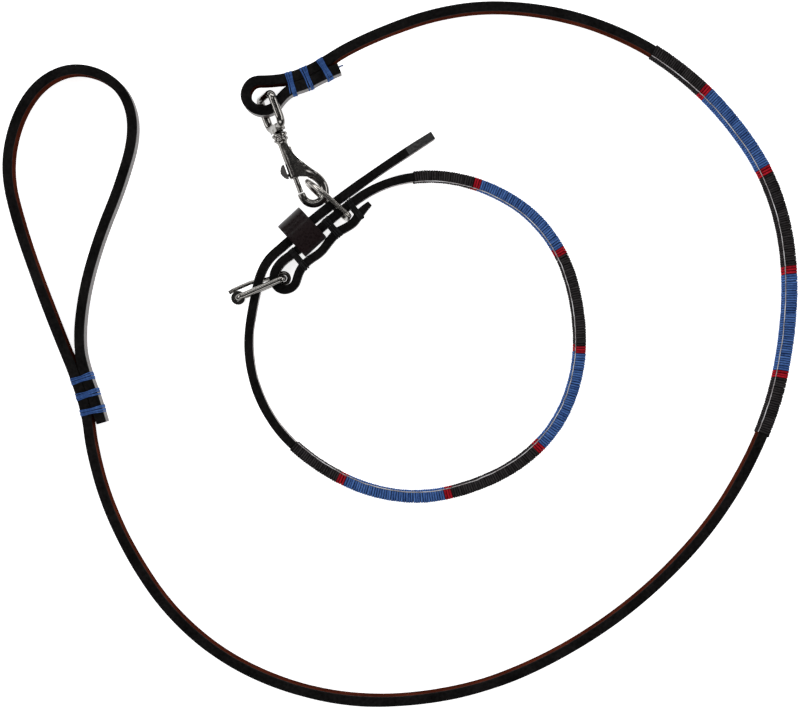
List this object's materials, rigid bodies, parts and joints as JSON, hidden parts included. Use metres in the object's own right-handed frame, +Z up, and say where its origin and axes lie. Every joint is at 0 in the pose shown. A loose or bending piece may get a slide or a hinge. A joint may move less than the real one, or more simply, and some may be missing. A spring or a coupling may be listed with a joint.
{
  "type": "leather lead with clipped collar",
  "caption": "Flat leather lead with a stitched hand loop, coloured thread whipping and a swivel bolt snap, clipped to the D-ring of its matching buckled collar.",
  "frame": {"origin": "on the floor under the middle of the whole set's outline", "axes": "+Z up, square to the floor; the hand loop is towards -X and +Y"},
  "size_m": [0.3981, 0.353, 0.0248],
  "materials": {
    "leather_black": "satin",
    "leather_brown": "gloss",
    "thread_black": "waxed",
    "thread_red": "waxed",
    "thread_blue": "waxed",
    "nickel": "polished",
    "satin_nickel": "satin",
    "spring_steel": "drawn"
  },
  "bodies": {
    "lead": {"lead_strap": "leather_black", "lead_wrap_black_1": "thread_black", "lead_wrap_red_1": "thread_red", "lead_wrap_blue_1": "thread_blue", "lead_wrap_red_2": "thread_red", "lead_wrap_black_2": "thread_black", "lead_wrap_red_3": "thread_red", "lead_wrap_blue_2": "thread_blue", "lead_wrap_red_4": "thread_red", "lead_wrap_black_3": "thread_black", "snap_stitch_1": "thread_blue", "snap_stitch_2": "thread_blue", "snap_stitch_3": "thread_blue", "handle_stitch_1": "thread_blue", "handle_stitch_2": "thread_blue", "handle_stitch_3": "thread_blue"},
    "eye": {"swivel_eye": "nickel"},
    "snap": {"snap_body": "nickel", "bolt_spring": "spring_steel"},
    "bolt": {"snap_bolt": "nickel", "bolt_stud": "nickel"},
    "ring": {"d_ring": "satin_nickel"},
    "collar": {"collar_strap": "leather_black", "collar_wrap_black_1": "thread_black", "collar_wrap_red_1": "thread_red", "collar_wrap_blue_1": "thread_blue", "collar_wrap_red_2": "thread_red", "collar_wrap_black_2": "thread_black", "collar_wrap_red_3": "thread_red", "collar_wrap_blue_2": "thread_blue", "collar_wrap_red_4": "thread_red", "collar_wrap_black_3": "thread_black", "collar_wrap_red_5": "thread_red", "collar_wrap_blue_3": "thread_blue", "collar_wrap_red_6": "thread_red", "collar_wrap_black_4": "thread_black", "collar_stitch_buckle": "thread_black", "collar_stitch_ring_1": "thread_black", "collar_stitch_ring_2": "thread_black"},
    "keeper": {"collar_keeper": "leather_brown"},
    "buckle": {"buckle_frame": "nickel"},
    "roller": {"buckle_roller": "nickel"},
    "tongue": {"buckle_tongue": "nickel"}
  },
  "joints": [
    {"name": "eye_pivot", "type": "hinge", "parent": "lead", "child": "eye", "pos_m": [-0.06691, 0.12951, 0.0126], "axis": [0, 0, 1], "range_deg": [-12, 12]},
    {"name": "swivel", "type": "hinge", "parent": "eye", "child": "snap", "pos_m": [-0.0592, 0.1089, 0.0126], "axis": [0.3502, -0.9367, 0], "continuous": true},
    {"name": "bolt_slide", "type": "slide", "parent": "snap", "child": "bolt", "axis": [-0.3502, 0.9367, 0], "range_m": [0, 0.0076], "stiffness_N_per_m": 200, "springref_m": -0.004, "deforming": ["bolt_spring"]},
    {"name": "hook_link", "type": "hinge", "parent": "snap", "child": "ring", "pos_m": [-0.04276, 0.08163, 0.0126], "axis": [0, 0, 1], "range_deg": [-6, 6]},
    {"name": "ring_hinge", "type": "hinge", "parent": "ring", "child": "collar", "pos_m": [-0.02526, 0.069, 0.01204], "axis": [0.073, 0.054, 0.9959], "range_deg": [-3, 3]},
    {"name": "frame_hinge", "type": "hinge", "parent": "collar", "child": "buckle", "pos_m": [-0.05761, 0.03839, 0.01219], "axis": [0.0162, -0.0121, 0.9998], "range_deg": [0, 6]},
    {"name": "roller_spin", "type": "hinge", "parent": "buckle", "child": "roller", "pos_m": [-0.08007, 0.02862, 0.01244], "axis": [0.0162, -0.0121, 0.9998], "continuous": true},
    {"name": "tongue_hinge", "type": "hinge", "parent": "collar", "child": "tongue", "pos_m": [-0.05761, 0.03839, 0.01219], "axis": [0.0162, -0.0121, 0.9998], "range_deg": [-3, 0]},
    {"name": "keeper_slide", "type": "slide", "parent": "collar", "child": "keeper", "axis": [-0.7337, -0.6794, 0.0036], "range_m": [-0.0012, 0.0012]}
  ]
}
